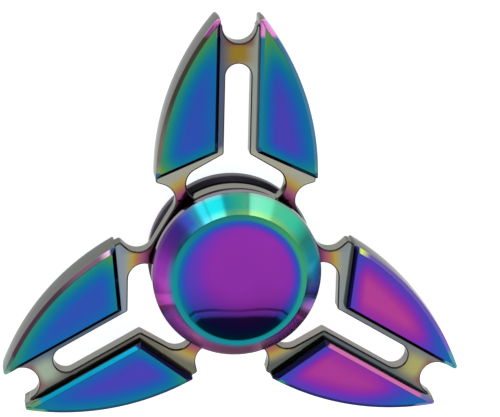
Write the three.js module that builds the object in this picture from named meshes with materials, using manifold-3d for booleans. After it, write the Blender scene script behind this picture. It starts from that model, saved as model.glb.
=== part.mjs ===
// A hand spinner with three claw arms, in millimetres.
// +Z is the spin axis, +Y runs along one arm, and the origin is the centre of the ball bearing.
// The claw frame is one casting that turns with the bearing's outer race.
// The two finger caps screw together through the inner race and are held still between two fingers.

import * as THREE from 'three';
import { ConvexGeometry } from 'three/addons/geometries/ConvexGeometry.js';
import { mergeVertices } from 'three/addons/utils/BufferGeometryUtils.js';
import Module from 'manifold-3d';

const wasm = await Module();
wasm.setup();

const degree = Math.PI / 180;
const { cos, sin, acos, asin, atan2, sqrt, PI } = Math;

// Claw frame
const armCount = 3;
const plateHalf = 1.5;         // half thickness of the hub plate, struts and bridges
const bladeHalf = 3.5;         // half thickness of the blades
const bladeChamfer = 0.6;      // on every face edge of a blade
const bladeDraft = 0.15;       // how far a blade's walls lean in by the time they reach the chamfer
const ledge = 0.85;            // plate left showing beside a blade, along the slot and the window
const hubRadius = 12.0;
const bossOuterRadius = 11.8;  // the raised wall round the bearing, in the shadow of the caps
const bossHalf = 3.35;
const slotHalf = 1.9;
const slotEnd = 30.6;          // outer end of the slot, from the axis
const kneeY = 17.1;            // where the slot opens out into the window
const windowSlope = 30 * degree;
const windowEndRadius = 2.44;
const windowEndX = 4.9;
const windowEndSweep = 135 * degree;
const windowOverlap = 0.4;     // the window's cut runs this far in under the hub's rim
const gapMiddle = 30 * degree; // the line midway between two arms, from +X
const gapNotchRadius = 2.5;    // the round notches between one arm's blade and the hub
const gapNotchReach = 14.9;    // from the axis, measured along that middle line
const gapNotchSide = 3.0;      // sideways from it
const edgeRadius = 37.75;      // long outer curve of a blade
const edgeWidestX = 12.1;
const edgeWidestY = 13.65;
const bladeFootY = 12.8;       // where the long curve meets the blade's foot
const bladeFootRise = 0.6;     // the blade's raised part starts this much further out
const claspY = 33.7;           // bottom of the round notch between the two tips
const claspRadius = 2.5;
const tipX = 3.3;              // centre of the small round at a blade's tip
const tipRadius = 0.5;
const skirt = 0.25;            // the plate stops this far inside a blade's outer wall

// Ball bearing, the common 8 x 22 x 7 size
const bearingHalf = 3.5;
const outerRaceRadius = 11.0;
const boreRadius = 4.0;
const outerLandRadius = 9.35;
const innerLandRadius = 6.05;
const shieldRecessRadius = 10.0;
const shieldRecessZ = 2.7;
const ballCount = 7;
const ballRadius = 1.9845;
const pitchRadius = 7.5;
const ballClearance = 0.08;
const grooveRadius = 2.12;
const raceChamfer = 0.3;
const seatClearance = 0.05;    // between the outer race and the frame

// Riveted ribbon cage that keeps the balls apart
const cageInner = 6.8;
const cageWidth = 1.4;
const cageThickness = 0.35;
const cagePocket = 2.085;
const cageGap = 0.15;          // half the gap between the two halves
const rivetRadius = 0.32;
const rivetHeadRadius = 0.55;
const rivetHeadHeight = 0.25;
const rivetCrownRadius = 0.33;
const rivetPlay = 0.1;

// Shields and the wire rings that hold them
const shieldInner = 6.35;
const shieldOuter = 9.9;
const shieldZ = 2.8;
const shieldThickness = 0.3;
const ringInner = 9.45;
const ringZ = 3.15;
const ringThickness = 0.25;
const ringOpening = 14 * degree;

// Finger caps
const capRadius = 12.5;
const capInnerZ = 4.0;         // face towards the frame
const capEdgeZ = 5.6;          // where the straight edge turns into the bevel
const capLipZ = 8.8;
const lipOuter = 9.9;
const lipInner = 9.2;
const dishDepth = 1.35;
const dishFlatRadius = 2.0;
const capEdgeChamfer = 0.25;
const shoulderRadius = 5.4;
const shoulderZ = 3.6;
const stubRadius = 3.92;
const stubEndZ = 0.3;
const threadBoreRadius = 2.6;
const threadPostRadius = 2.45;
const threadBoreDepthZ = 5.6;
const threadPostEndZ = 5.1;
const threadPostChamfer = 0.4;

// Facets in a full turn, or in one arc
const roundFacets = 40;
const bladeFacets = 8;
const cornerFacets = 4;
const grooveFacets = 6;
const pocketFacets = 8;
const rivetFacets = 10;
const ballFacets = 12;
const ballRings = 8;

const plated = (color) => new THREE.MeshStandardMaterial({ color, metalness: 1, roughness: 0.12 });
const colours = {
  frame: plated(0x2c5fb4),
  cap: plated(0x7a2ca8),
  steel: new THREE.MeshStandardMaterial({ color: 0xb9bcc0, metalness: 1, roughness: 0.25 }),
  ball: new THREE.MeshStandardMaterial({ color: 0xd8dadd, metalness: 1, roughness: 0.05 }),
  sheet: new THREE.MeshStandardMaterial({ color: 0x9c9fa3, metalness: 1, roughness: 0.35 }),
};

// Outlines

function arc(x, y, radius, from, to, steps) {
  return Array.from({ length: steps + 1 }, (_, i) => {
    const angle = from + (to - from) * i / steps;
    return new THREE.Vector2(x + radius * cos(angle), y + radius * sin(angle));
  });
}

function mirrored(points) {
  return points.map((p) => new THREE.Vector2(-p.x, p.y)).reverse();
}

function turned(points, angle) {
  const centre = new THREE.Vector2();
  return points.map((p) => p.clone().rotateAround(centre, angle));
}

// The right-hand blade's round tip and long outer curve, down to the height of its foot.
function bladeEdge(inset, footY) {
  const x = edgeWidestX - edgeRadius;
  const lean = acos((tipX - x) / (edgeRadius - tipRadius));
  const tipY = edgeWidestY + (edgeRadius - tipRadius) * sin(lean);
  const foot = asin((footY - edgeWidestY) / (edgeRadius - inset));
  return [
    ...arc(tipX, tipY, Math.max(tipRadius - inset, 0), PI, lean, cornerFacets),
    ...arc(x, edgeWidestY, edgeRadius - inset, lean, foot, bladeFacets).slice(1),
  ];
}

// One of the two round notches in the gap between neighbouring arms, from the blade's foot to the hub.
function gapNotch(foot) {
  const along = new THREE.Vector2(cos(gapMiddle), sin(gapMiddle));
  const across = new THREE.Vector2(-along.y, along.x);
  const centre = along.clone().multiplyScalar(gapNotchReach).addScaledVector(across, gapNotchSide);
  const toFoot = foot.clone().sub(centre);
  const start = atan2(toFoot.y, toFoot.x) + acos(gapNotchRadius / toFoot.length());
  return arc(centre.x, centre.y, gapNotchRadius, start, PI + gapMiddle, 2 * cornerFacets);
}

// Right-hand half of one arm, from the middle of the clasp notch to the middle of the gap.
function halfArm() {
  const edge = bladeEdge(skirt, bladeFootY);
  return [
    ...arc(0, claspY + claspRadius, claspRadius, -PI / 2, 0, cornerFacets),
    ...edge,
    ...gapNotch(edge.at(-1)),
  ];
}

function plateOutline() {
  const half = halfArm();
  const arm = [...mirrored(half).slice(0, -1), ...half];
  const turns = Array.from({ length: armCount }, (_, i) => -i * 2 * PI / armCount);
  return turns.flatMap((turn) => turned(arm, turn));
}

// The slot between an arm's blades with the wide window at its inner end, open towards the hub.
function windowOutline() {
  const slope = new THREE.Vector2(cos(windowSlope), -sin(windowSlope));
  const inward = new THREE.Vector2(-sin(windowSlope), -cos(windowSlope));
  const run = (windowEndX - windowEndRadius * inward.x - slotHalf) / slope.x;
  const centre = new THREE.Vector2(slotHalf, kneeY)
    .addScaledVector(slope, run)
    .addScaledVector(inward, windowEndRadius);
  const start = 90 * degree - windowSlope;
  const hidden = hubRadius - windowOverlap;
  const hiddenX = windowEndX - windowOverlap;
  const half = [
    ...arc(0, slotEnd - slotHalf, slotHalf, PI / 2, 0, cornerFacets),
    new THREE.Vector2(slotHalf, kneeY),
    ...arc(centre.x, centre.y, windowEndRadius, start, start - windowEndSweep, 2 * cornerFacets),
    new THREE.Vector2(hiddenX, sqrt(hidden ** 2 - hiddenX ** 2)),
  ];
  return [...half, ...mirrored(half).slice(0, -1)];
}

// The raised part of the right-hand blade, drawn in on every side by the inset.
function bladeOutline(inset) {
  const inner = slotHalf + ledge + inset;
  const heel = kneeY - ledge * Math.tan(windowSlope) + ledge / cos(windowSlope) + inset;
  const edge = bladeEdge(inset, bladeFootY + bladeFootRise + inset).filter((p) => p.x > inner);
  return [...edge, new THREE.Vector2(inner, edge[0].y), new THREE.Vector2(inner, heel)];
}

// The raised blade as a convex solid. It is widest at half thickness and chamfered at both faces.
function bladeSolid() {
  const layers = [[0, 0], [bladeHalf - bladeChamfer, bladeDraft], [bladeHalf, bladeDraft + bladeChamfer]];
  const points = layers.flatMap(([z, inset]) => bladeOutline(inset)
    .flatMap((p) => [new THREE.Vector3(p.x, p.y, z), new THREE.Vector3(p.x, p.y, -z)]));
  return toSolid(new ConvexGeometry(points));
}

// Solids

function outward(geometry) {
  const p = geometry.attributes.position;
  const index = geometry.index.array;
  const [a, b, c] = [new THREE.Vector3(), new THREE.Vector3(), new THREE.Vector3()];
  let volume = 0;
  for (let i = 0; i < index.length; i += 3) {
    a.fromBufferAttribute(p, index[i]);
    b.fromBufferAttribute(p, index[i + 1]);
    c.fromBufferAttribute(p, index[i + 2]);
    volume += a.dot(b.cross(c));
  }
  if (volume < 0) index.reverse();
  return geometry;
}

// Joins the shared vertices and drops the triangles that then have no area, such as those on an axis.
function closed(geometry) {
  geometry.deleteAttribute('normal');
  geometry.deleteAttribute('uv');
  const merged = mergeVertices(geometry, 1e-4);
  const index = merged.index.array;
  const kept = [];
  for (let i = 0; i < index.length; i += 3) {
    const [a, b, c] = index.slice(i, i + 3);
    if (a !== b && b !== c && c !== a) kept.push(a, b, c);
  }
  merged.setIndex(kept);
  return outward(merged);
}

function toSolid(geometry) {
  const merged = closed(geometry);
  return new wasm.Manifold(new wasm.Mesh({
    numProp: 3,
    vertProperties: new Float32Array(merged.attributes.position.array),
    triVerts: new Uint32Array(merged.index.array),
  }));
}

function toGeometry(solid) {
  const mesh = solid.getMesh();
  const geometry = new THREE.BufferGeometry();
  geometry.setAttribute('position', new THREE.BufferAttribute(mesh.vertProperties, 3));
  geometry.setIndex(new THREE.BufferAttribute(mesh.triVerts, 1));
  geometry.computeVertexNormals();
  return geometry;
}

function slab(points, half) {
  const settings = { depth: 2 * half, bevelEnabled: false };
  return new THREE.ExtrudeGeometry(new THREE.Shape(points), settings).translate(0, 0, -half);
}

function revolved(profile, facets = roundFacets) {
  const points = profile.map(([radius, z]) => new THREE.Vector2(radius, z));
  return closed(new THREE.LatheGeometry(points, facets).rotateX(PI / 2));
}

function disc(radius, half, facets = roundFacets) {
  return revolved([[0, -half], [radius, -half], [radius, half], [0, half]], facets);
}

function flipped(geometry) {
  return geometry.clone().rotateX(PI);
}

// Pieces

function clawFrame() {
  let frame = toSolid(slab(plateOutline(), plateHalf));
  const blade = bladeSolid();
  for (let i = 0; i < armCount; i += 1) {
    const turn = i * 360 / armCount;
    frame = frame.subtract(toSolid(slab(windowOutline(), 2 * plateHalf)).rotate([0, 0, turn]));
    frame = frame.add(blade.rotate([0, 0, turn]));
    frame = frame.add(blade.mirror([1, 0, 0]).rotate([0, 0, turn]));
  }
  frame = frame.add(toSolid(disc(hubRadius, plateHalf)));
  frame = frame.add(toSolid(disc(bossOuterRadius, bossHalf)));
  const seat = outerRaceRadius + seatClearance;
  return toGeometry(frame.subtract(toSolid(disc(seat, 2 * bladeHalf))));
}

// The groove that the balls run in, as profile points on the side of the given land.
function groove(side) {
  const centre = pitchRadius + side * (ballRadius + ballClearance - grooveRadius);
  const land = side > 0 ? outerLandRadius : innerLandRadius;
  const reach = acos(side * (land - centre) / grooveRadius);
  const middle = side > 0 ? 0 : PI;
  return arc(centre, 0, grooveRadius, middle - side * reach, middle + side * reach, grooveFacets)
    .map((p) => [p.x, p.y]);
}

function outerRace() {
  const [w, c] = [bearingHalf, raceChamfer];
  const profile = [
    [outerRaceRadius - c, -w], [outerRaceRadius, c - w], [outerRaceRadius, w - c], [outerRaceRadius - c, w],
    [shieldRecessRadius, w], [shieldRecessRadius, shieldRecessZ], [outerLandRadius, shieldRecessZ],
    ...groove(1).reverse(),
    [outerLandRadius, -shieldRecessZ], [shieldRecessRadius, -shieldRecessZ], [shieldRecessRadius, -w],
    [outerRaceRadius - c, -w],
  ];
  return revolved(profile);
}

function innerRace() {
  const [w, c] = [bearingHalf, raceChamfer];
  const profile = [
    [boreRadius + c, -w], [innerLandRadius - c / 2, -w], [innerLandRadius, c / 2 - w],
    ...groove(-1),
    [innerLandRadius, w - c / 2], [innerLandRadius - c / 2, w], [boreRadius + c, w],
    [boreRadius, w - c], [boreRadius, c - w], [boreRadius + c, -w],
  ];
  return revolved(profile);
}

function ball() {
  return closed(new THREE.SphereGeometry(ballRadius, ballFacets, ballRings));
}

// One half of the cage: a flat ring that arches over each ball. A station is one cross-section of the ribbon.
function cageHalf() {
  const section = [[0, 0], [1, 0], [1, 1], [0, 1], [0, 0]].map(([x, y]) => new THREE.Vector2(x, y));
  const stations = ballCount * (pocketFacets + 1);
  const geometry = new THREE.LatheGeometry(section, stations);
  const p = geometry.attributes.position;
  for (let i = 0; i < p.count; i += 1) {
    const station = Math.floor(i / section.length) % stations;
    const corner = section[i % section.length];
    const pocket = Math.floor(station / (pocketFacets + 1));
    const swing = PI * (station % (pocketFacets + 1)) / pocketFacets;
    const arch = cagePocket + corner.y * cageThickness;
    const angle = pocket * 2 * PI / ballCount - arch * cos(swing) / pitchRadius;
    const radius = cageInner + corner.x * cageWidth;
    const height = Math.max(cageGap + corner.y * cageThickness, arch * sin(swing));
    p.setXYZ(i, radius * cos(angle), radius * sin(angle), height);
  }
  let half = toSolid(geometry);
  for (let i = 0; i < ballCount; i += 1) {
    const hole = disc(rivetRadius + rivetPlay, cagePocket, rivetFacets).translate(...rivetPlace(i));
    half = half.subtract(toSolid(hole));
  }
  return toGeometry(half);
}

function rivetPlace(i) {
  const angle = (i + 0.5) * 2 * PI / ballCount;
  return [pitchRadius * cos(angle), pitchRadius * sin(angle), 0];
}

function rivet() {
  const under = cageGap + cageThickness + rivetPlay;
  const top = under + rivetHeadHeight;
  const upper = [[rivetRadius, under], [rivetHeadRadius, under], [rivetCrownRadius, top], [0, top]];
  const lower = upper.map(([radius, z]) => [radius, -z]).reverse();
  return revolved([...lower, ...upper], rivetFacets);
}

function shield() {
  const [low, high] = [shieldZ, shieldZ + shieldThickness];
  return revolved([[shieldInner, low], [shieldOuter, low], [shieldOuter, high], [shieldInner, high],
    [shieldInner, low]]);
}

function retainingRing() {
  const outer = arc(0, 0, shieldOuter, ringOpening, 2 * PI - ringOpening, roundFacets);
  const inner = arc(0, 0, ringInner, 2 * PI - ringOpening, ringOpening, roundFacets);
  const half = ringThickness / 2;
  return closed(slab([...outer, ...inner], half)).translate(0, 0, ringZ + half);
}

// The outside of a cap, from the bearing shoulder over the bevel and lip to the middle of the dish.
function capFace() {
  const run = lipInner - dishFlatRadius;
  const dishRadius = (run ** 2 + dishDepth ** 2) / (2 * dishDepth);
  const reach = asin(run / dishRadius);
  const dish = arc(dishFlatRadius, capLipZ - dishDepth + dishRadius, dishRadius,
    reach - PI / 2, -PI / 2, cornerFacets);
  return [
    [stubRadius, shoulderZ], [shoulderRadius, shoulderZ], [shoulderRadius, capInnerZ],
    [capRadius - capEdgeChamfer, capInnerZ], [capRadius, capInnerZ + capEdgeChamfer],
    [capRadius, capEdgeZ], [lipOuter, capLipZ],
    ...dish.map((p) => [p.x, p.y]),
    [0, capLipZ - dishDepth],
  ];
}

function frontCap() {
  const socket = [
    [0, threadBoreDepthZ], [threadBoreRadius, threadBoreDepthZ], [threadBoreRadius, stubEndZ],
    [stubRadius, stubEndZ],
  ];
  return revolved([...socket, ...capFace()]);
}

function rearCap() {
  const post = [
    [0, -threadPostEndZ], [threadPostRadius - threadPostChamfer, -threadPostEndZ],
    [threadPostRadius, threadPostChamfer - threadPostEndZ], [threadPostRadius, 0], [stubRadius, 0],
  ];
  return flipped(revolved([...post, ...capFace()]));
}

// Assembly

const spinner = new THREE.Group();

function place(name, geometry, material) {
  const mesh = new THREE.Mesh(geometry, material);
  mesh.name = name;
  spinner.add(mesh);
  return mesh;
}

place('claw_frame', clawFrame(), colours.frame);
place('front_cap', frontCap(), colours.cap);
place('rear_cap', rearCap(), colours.cap);
place('outer_race', outerRace(), colours.steel);
place('inner_race', innerRace(), colours.steel);
place('cage_front', cageHalf(), colours.sheet);
place('cage_rear', cageHalf(), colours.sheet).rotation.x = PI;
place('shield_front', shield(), colours.sheet);
place('shield_rear', shield(), colours.sheet).rotation.x = PI;
place('retaining_ring_front', retainingRing(), colours.steel);
place('retaining_ring_rear', retainingRing(), colours.steel).rotation.x = PI;
for (let i = 0; i < ballCount; i += 1) {
  const angle = i * 2 * PI / ballCount;
  const mesh = place(`ball_${i + 1}`, ball(), colours.ball);
  mesh.position.set(pitchRadius * cos(angle), pitchRadius * sin(angle), 0);
  place(`cage_rivet_${i + 1}`, rivet(), colours.steel).position.set(...rivetPlace(i));
}

export default spinner;
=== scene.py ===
"""A rainbow-plated hand spinner with three claw arms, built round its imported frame.

Lengths are in millimetres and are turned into metres where a mesh is made. +Z is the spin axis, +Y runs along
one arm, and the origin is the centre of the ball bearing.
"""

from math import acos, asin, atan2, cos, hypot, pi, radians, sin, tan
from typing import NamedTuple

import bpy
from mathutils import Matrix, Vector
from mathutils.geometry import tessellate_polygon


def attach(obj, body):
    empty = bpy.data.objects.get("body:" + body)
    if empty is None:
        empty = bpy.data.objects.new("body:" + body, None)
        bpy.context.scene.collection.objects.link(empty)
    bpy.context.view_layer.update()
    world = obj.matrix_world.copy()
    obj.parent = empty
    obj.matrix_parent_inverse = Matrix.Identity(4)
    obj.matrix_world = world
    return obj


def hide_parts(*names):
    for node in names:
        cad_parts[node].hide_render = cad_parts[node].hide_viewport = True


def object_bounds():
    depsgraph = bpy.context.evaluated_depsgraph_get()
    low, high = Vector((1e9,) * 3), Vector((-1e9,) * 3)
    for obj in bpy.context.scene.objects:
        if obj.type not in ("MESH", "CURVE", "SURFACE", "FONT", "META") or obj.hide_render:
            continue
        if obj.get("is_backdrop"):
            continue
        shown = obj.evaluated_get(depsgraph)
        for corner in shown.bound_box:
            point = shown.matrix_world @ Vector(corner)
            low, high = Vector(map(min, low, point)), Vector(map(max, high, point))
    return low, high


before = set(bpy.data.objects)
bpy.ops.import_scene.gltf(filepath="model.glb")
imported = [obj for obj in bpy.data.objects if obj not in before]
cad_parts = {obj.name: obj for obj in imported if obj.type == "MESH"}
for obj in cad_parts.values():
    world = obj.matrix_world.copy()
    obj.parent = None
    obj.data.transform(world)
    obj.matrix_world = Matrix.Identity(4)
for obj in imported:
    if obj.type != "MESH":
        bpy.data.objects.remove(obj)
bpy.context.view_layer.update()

MM = 0.001

# Claw frame
ARM_COUNT = 3
PLATE_HALF = 1.5
PLATE_ROUND = 0.28
BLADE_HALF = 3.5
BLADE_CHAMFER = 0.62
BLADE_DRAFT = 0.13
WALL_ROUND = 0.3
FACE_ROUND = 0.12
LEDGE = 0.85
HUB_RADIUS = 12.0
BOSS_RADIUS = 11.8
BOSS_HALF = 3.35
BOSS_CHAMFER = 0.2
SEAT_RADIUS = 11.05
SLOT_HALF = 1.9
SLOT_END = 30.6
KNEE_Y = 17.1
WINDOW_SLOPE = radians(30)
WINDOW_END_RADIUS = 2.44
WINDOW_END_X = 4.9
WINDOW_CORNER = 0.4
GAP_NOTCH_RADIUS = 2.5
GAP_NOTCH_REACH = 14.9
GAP_NOTCH_SIDE = 3.0
GAP_AZIMUTH = radians(30)
GAP_NOTCH_END = radians(210)
EDGE_RADIUS = 37.75
EDGE_WIDEST = (12.1, 13.65)
BLADE_FOOT_Y = 12.8
BLADE_FOOT_RISE = 0.6
CLASP_Y = 33.7
CLASP_RADIUS = 2.5
TIP_RADIUS = 0.5
SMALLEST_TIP = 0.06
CORNER_RADIUS = 0.35
SMALLEST_CORNER = 0.08
SKIRT = 0.25
HUB_SEGMENTS = 160
FOOT_Y = BLADE_FOOT_Y + BLADE_FOOT_RISE
HEEL_Y = KNEE_Y - LEDGE * tan(WINDOW_SLOPE) + LEDGE / cos(WINDOW_SLOPE)

# Finger caps
CAP_RADIUS = 12.5
CAP_INNER_Z = 4.0
CAP_EDGE_Z = 5.6
CAP_LIP_Z = 8.8
LIP_OUTER = 9.9
LIP_INNER = 9.2
DISH_DEPTH = 1.35
DISH_FLAT_RADIUS = 2.0
CAP_EDGE_ROUNDS = (0.22, 0.16, 0.1)
LIP_ROUND = 1.2
SHOULDER_RADIUS = 5.4
SHOULDER_Z = 3.6
STUB_RADIUS = 3.92
STUB_END_Z = 0.3
THREAD_BORE_RADIUS = 2.6
THREAD_BORE_END_Z = 5.6
THREAD_POST_RADIUS = 2.45
THREAD_POST_END_Z = 5.1
THREAD_POST_CHAMFER = 0.4
CAP_SEGMENTS = 144

# Ball bearing
BEARING_HALF = 3.5
OUTER_RACE_RADIUS = 11.0
BORE_RADIUS = 4.0
OUTER_LAND_RADIUS = 9.35
INNER_LAND_RADIUS = 6.05
RECESS_RADIUS = 10.0
RECESS_Z = 2.7
RACE_CHAMFER = 0.3
OUTER_RACE_ROUND = 0.08
INNER_RACE_ROUND = 0.06
RING_SEGMENTS = 120
BALL_COUNT = 7
BALL_RADIUS = 1.9845
PITCH_RADIUS = 7.5
BALL_CLEARANCE = 0.08
GROOVE_RADIUS = 2.12
BALL_SEGMENTS = 56

# Riveted cage
CAGE_INNER = 6.8
CAGE_WIDTH = 1.4
CAGE_THICKNESS = 0.35
CAGE_POCKET = 2.085
CAGE_GAP = 0.15
CAGE_EDGE_ROUND = 0.08
ARCH_STEPS = 44
RIVET_RADIUS = 0.32
RIVET_HEAD_RADIUS = 0.55
RIVET_HEAD_HEIGHT = 0.25
RIVET_HEAD_EDGE = 0.04
RIVET_PLAY = 0.1
RIVET_SEGMENTS = 32

# Shields and the wire rings that hold them
SHIELD_INNER = 6.35
SHIELD_OUTER = 9.9
SHIELD_Z = 2.8
SHIELD_THICKNESS = 0.3
SHIELD_STEP_RADIUS = 8.6
SHIELD_STEP = 0.14
SHIELD_ROUND = 0.06
WIRE_INNER = 9.45
WIRE_Z = 3.15
WIRE_THICKNESS = 0.25
WIRE_EDGE_ROUND = 0.09
WIRE_OPENING = radians(14)
WIRE_STEPS = 130

# Camera
TILT_X = 0.2662
TILT_Y = 0.1170
ROLL = -0.0249
CAMERA_PLACE = (2.516, 8.154, 352.6)
LENS = 170.12
SENSOR_WIDTH = 36
CLIP_START = 0.01

# Lamp and background, in metres where they are lengths
LAMP_PLACE = (0.03, -0.1, 0.6)
LAMP_LEAN = radians(-9)
LAMP_SIZE = 0.5
LAMP_POWER = 1.0
FAR_SKY = 0.5

# Floor
FLOOR_HALF = 900
FLOOR_DROP = 0.02
FLOOR_GRAIN = 40.0
FLOOR_DARK = (186, 186, 186)
FLOOR_LIGHT = (190, 190, 190)
FLOOR_ROUGHNESS = 0.6
FLOOR_GLOSS = 0.2
FLOOR_GLOW = 0.84


# Outlines


def arc(x, y, radius, start, end, steps):
    """Points on a round stretch, both ends included."""
    angles = [start + (end - start) * i / steps for i in range(steps + 1)]
    return [(x + radius * cos(a), y + radius * sin(a)) for a in angles]


def mirrored(points):
    return [(-x, y) for x, y in reversed(points)]


def turned(points, angle):
    c, s = cos(angle), sin(angle)
    return [(x * c - y * s, x * s + y * c) for x, y in points]


def unit(x, y):
    size = hypot(x, y)
    return x / size, y / size


def fillet(before, corner, after, radius, steps=4):
    """The corner replaced by a round of that radius, as long as its neighbours leave room for it."""
    ux, uy = unit(before[0] - corner[0], before[1] - corner[1])
    vx, vy = unit(after[0] - corner[0], after[1] - corner[1])
    half = acos(max(-1, min(1, ux * vx + uy * vy))) / 2
    room_before = hypot(before[0] - corner[0], before[1] - corner[1])
    room_after = hypot(after[0] - corner[0], after[1] - corner[1])
    radius = min(radius, 0.9 * min(room_before, room_after) * tan(half))
    reach = radius / sin(half)
    bx, by = unit(ux + vx, uy + vy)
    cx, cy = corner[0] + bx * reach, corner[1] + by * reach
    start = atan2(corner[1] + uy * radius / tan(half) - cy, corner[0] + ux * radius / tan(half) - cx)
    end = atan2(corner[1] + vy * radius / tan(half) - cy, corner[0] + vx * radius / tan(half) - cx)
    turn = (end - start + pi) % (2 * pi) - pi
    return arc(cx, cy, radius, start, start + turn, steps)


def rounded(points, radius, sharper_than=radians(28)):
    """A closed outline with every sharp corner rounded."""
    result = []
    for i, corner in enumerate(points):
        before, after = points[i - 1], points[(i + 1) % len(points)]
        a = atan2(corner[1] - before[1], corner[0] - before[0])
        b = atan2(after[1] - corner[1], after[0] - corner[0])
        bend = abs((b - a + pi) % (2 * pi) - pi)
        result += fillet(before, corner, after, radius) if bend > sharper_than else [corner]
    return result


def drawn_in(points, distance):
    """A closed outline moved towards its left-hand side by that distance."""
    result = []
    for i, (x, y) in enumerate(points):
        ax, ay = unit(x - points[i - 1][0], y - points[i - 1][1])
        after = points[(i + 1) % len(points)]
        bx, by = unit(after[0] - x, after[1] - y)
        nx, ny = unit(-(ay + by), ax + bx)
        stretch = distance / max(0.5, nx * -ay + ny * ax)
        result.append((x + nx * stretch, y + ny * stretch))
    return result


def blade_outline(inset):
    """The right-hand blade, drawn in on every side, anticlockwise from its heel."""
    inner = SLOT_HALF + LEDGE + inset
    tip = max(TIP_RADIUS - inset, SMALLEST_TIP)
    corner = max(CORNER_RADIUS - inset, SMALLEST_CORNER)
    middle_x = EDGE_WIDEST[0] - EDGE_RADIUS
    lean = acos((inner + tip - middle_x) / (EDGE_RADIUS - inset - tip))
    tip_y = EDGE_WIDEST[1] + (EDGE_RADIUS - inset - tip) * sin(lean)
    slope = atan2(HEEL_Y - FOOT_Y, EDGE_WIDEST[0] - (SLOT_HALF + LEDGE))
    rise = inset / cos(slope)
    foot = (EDGE_WIDEST[0] - inset, FOOT_Y + rise + inset * tan(slope))
    heel = (inner, HEEL_Y + rise - inset * tan(slope))
    above_foot = (foot[0], foot[1] + 3)
    above_heel = (inner, heel[1] + 3)
    start = asin((foot[1] + 2 * corner - EDGE_WIDEST[1]) / (EDGE_RADIUS - inset))
    return (
        fillet(above_heel, heel, foot, corner)
        + fillet(heel, foot, above_foot, corner)
        + arc(middle_x, EDGE_WIDEST[1], EDGE_RADIUS - inset, start, lean, 30)[:-1]
        + arc(inner + tip, tip_y, tip, lean, pi, 8)
    )


def gap_notch(foot):
    """One of the two round notches between neighbouring arms, from the blade's foot to the hub."""
    along = (cos(GAP_AZIMUTH), sin(GAP_AZIMUTH))
    cx = GAP_NOTCH_REACH * along[0] - GAP_NOTCH_SIDE * along[1]
    cy = GAP_NOTCH_REACH * along[1] + GAP_NOTCH_SIDE * along[0]
    dx, dy = foot[0] - cx, foot[1] - cy
    start = atan2(dy, dx) + acos(GAP_NOTCH_RADIUS / hypot(dx, dy))
    return arc(cx, cy, GAP_NOTCH_RADIUS, start, GAP_NOTCH_END, 20)


def plate_outline():
    """The plate's outside, anticlockwise."""
    middle_x = EDGE_WIDEST[0] - EDGE_RADIUS
    reach = EDGE_RADIUS - SKIRT
    lean = acos((SLOT_HALF + LEDGE + TIP_RADIUS - middle_x) / (EDGE_RADIUS - TIP_RADIUS))
    tip_y = EDGE_WIDEST[1] + (EDGE_RADIUS - TIP_RADIUS) * sin(lean)
    foot_angle = asin((BLADE_FOOT_Y - EDGE_WIDEST[1]) / reach)
    edge = arc(middle_x, EDGE_WIDEST[1], reach, lean - 0.02, foot_angle, 24)
    clasp = arc(0, CLASP_Y + CLASP_RADIUS, CLASP_RADIUS, -pi / 2, 0, 12)
    tip = arc(SLOT_HALF + LEDGE + TIP_RADIUS, tip_y - 2 * SKIRT, TIP_RADIUS - 0.05, pi, lean, 4)
    half = clasp + tip[:-1] + edge + gap_notch(edge[-1])
    arm = mirrored(half)[:-1] + half
    points = []
    for i in range(ARM_COUNT):
        points += turned(arm, -i * 2 * pi / ARM_COUNT)
    return rounded(points[::-1], PLATE_ROUND + 0.1)


def window_outline():
    """An arm's slot and window as a hole in the plate, clockwise. Its inner side is the hub's rim."""
    slope = (cos(WINDOW_SLOPE), -sin(WINDOW_SLOPE))
    inward = (-sin(WINDOW_SLOPE), -cos(WINDOW_SLOPE))
    run = (WINDOW_END_X - WINDOW_END_RADIUS * inward[0] - SLOT_HALF) / slope[0]
    cx = WINDOW_END_X
    cy = KNEE_Y + slope[1] * run + inward[1] * WINDOW_END_RADIUS
    far = hypot(cx, cy)
    swing = acos((far**2 + WINDOW_END_RADIUS**2 - HUB_RADIUS**2) / (2 * far * WINDOW_END_RADIUS))
    end = atan2(-cy, -cx) + swing
    rim = acos((far**2 + HUB_RADIUS**2 - WINDOW_END_RADIUS**2) / (2 * far * HUB_RADIUS))
    rim_start = atan2(cy, cx) - rim
    half = (
        arc(0, SLOT_END - SLOT_HALF, SLOT_HALF, pi / 2, 0, 12)
        + [(SLOT_HALF, KNEE_Y)]
        + arc(cx, cy, WINDOW_END_RADIUS, pi / 2 - WINDOW_SLOPE, end, 18)
        + arc(0, 0, HUB_RADIUS, rim_start, pi / 2, 8)[1:]
    )
    return rounded(half + mirrored(half)[1:-1], WINDOW_CORNER)


# Meshes


def new_piece(name, points, faces):
    """An object in the scene, from points in millimetres."""
    mesh = bpy.data.meshes.new(name)
    mesh.from_pydata([Vector(p) * MM for p in points], [], faces)
    mesh.validate()
    piece = bpy.data.objects.new(name, mesh)
    bpy.context.scene.collection.objects.link(piece)
    return piece


def strip(lower, upper, count):
    """Quads between two closed rings of points, given the index of each ring's first point."""
    return [
        (lower + i, lower + (i + 1) % count, upper + (i + 1) % count, upper + i) for i in range(count)
    ]


def layered(outline, layers):
    """A solid from a convex outline drawn in differently at each height, from the bottom up."""
    points, faces = [], []
    for z, inset in layers:
        points += [(x, y, z) for x, y in outline(inset)]
    count = len(points) // len(layers)
    for i in range(len(layers) - 1):
        faces += strip(i * count, (i + 1) * count, count)
    faces.append(tuple(reversed(range(count))))
    faces.append(tuple(range(len(points) - count, len(points))))
    return points, faces


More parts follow.
